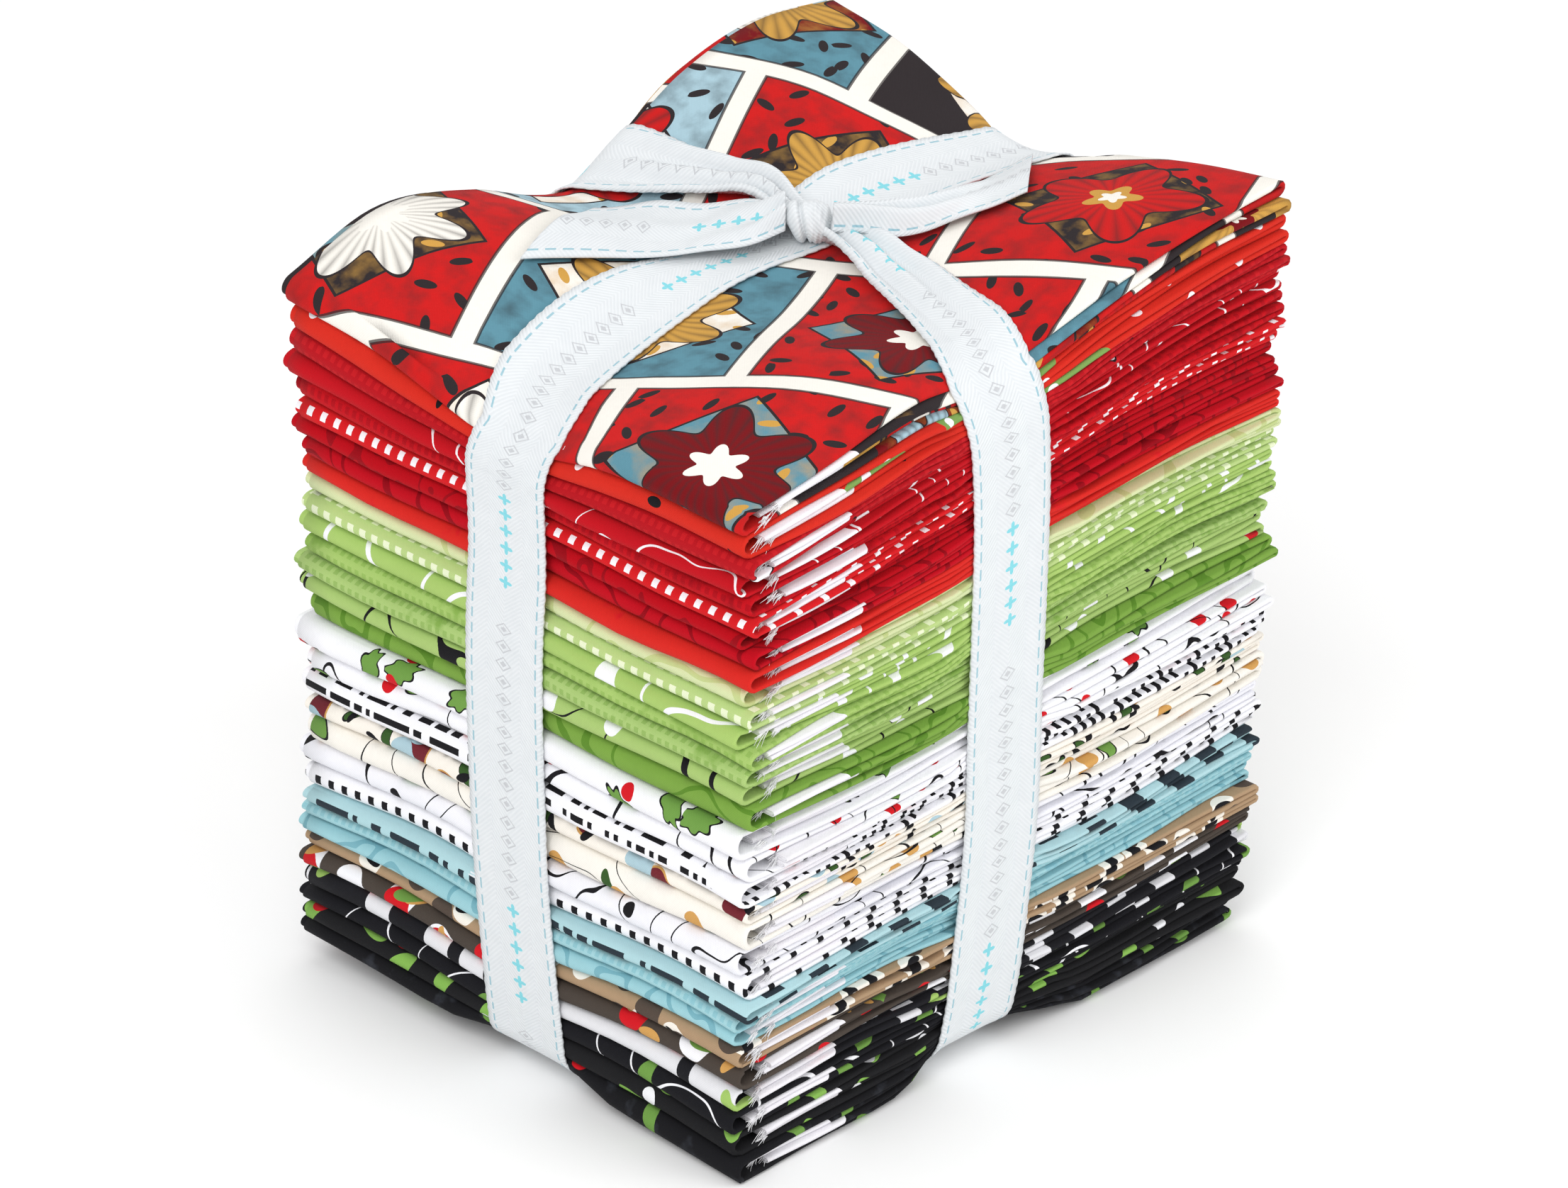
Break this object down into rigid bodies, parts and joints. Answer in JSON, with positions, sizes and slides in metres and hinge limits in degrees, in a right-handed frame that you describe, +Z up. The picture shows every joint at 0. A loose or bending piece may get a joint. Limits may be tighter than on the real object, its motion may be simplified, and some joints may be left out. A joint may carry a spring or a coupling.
{
  "type": "fat quarter bundle",
  "caption": "Stack of folded quilting cottons in prints from red through green, white and aqua to black, tied both ways with a flat woven tape and a knot on top.",
  "frame": {"origin": "middle of the stack's underside, on the surface it stands on", "axes": "+Z up through the stack; the single outer fold of each quarter is at -X and its double folds at +X; X is the long side of the fold"},
  "size_m": [0.1432, 0.1178, 0.156],
  "materials": {
    "print_picture": "printed quilting cotton, plain weave, matt",
    "cotton_dark_green": "printed quilting cotton, plain weave, matt",
    "cotton_bright_red": "printed quilting cotton, plain weave, matt",
    "cotton_deep_red": "printed quilting cotton, plain weave, matt",
    "cotton_celery": "printed quilting cotton, plain weave, matt",
    "cotton_lime": "printed quilting cotton, plain weave, matt",
    "cotton_green": "printed quilting cotton, plain weave, matt",
    "cotton_white": "printed quilting cotton, plain weave, matt",
    "cotton_tan": "printed quilting cotton, plain weave, matt",
    "cotton_aqua": "printed quilting cotton, plain weave, matt",
    "cotton_brown": "printed quilting cotton, plain weave, matt",
    "cotton_black": "printed quilting cotton, plain weave, matt",
    "tape": "woven tape, matt"
  },
  "bodies": {
    "root": {"quarter_01": "print_picture", "quarter_02": "cotton_dark_green", "quarter_03": "cotton_bright_red", "quarter_04": "cotton_deep_red", "quarter_05": "cotton_deep_red", "quarter_06": "cotton_deep_red", "quarter_07": "cotton_deep_red", "quarter_08": "cotton_deep_red", "quarter_09": "cotton_bright_red", "quarter_10": "cotton_celery", "quarter_11": "cotton_lime", "quarter_12": "cotton_lime", "quarter_13": "cotton_lime", "quarter_14": "cotton_green", "quarter_15": "cotton_green", "quarter_16": "cotton_dark_green", "quarter_17": "cotton_white", "quarter_18": "cotton_white", "quarter_19": "cotton_white", "quarter_20": "cotton_tan", "quarter_21": "cotton_white", "quarter_22": "cotton_white", "quarter_23": "cotton_white", "quarter_24": "cotton_aqua", "quarter_25": "cotton_aqua", "quarter_26": "cotton_aqua", "quarter_27": "cotton_tan", "quarter_28": "cotton_brown", "quarter_29": "cotton_black", "quarter_30": "cotton_black", "quarter_31": "cotton_black", "quarter_32": "cotton_black", "tape_cross": "tape", "tape_knot": "tape", "tape_long": "tape", "tape_tail_left": "tape", "tape_tail_right": "tape"}
  },
  "joints": []
}
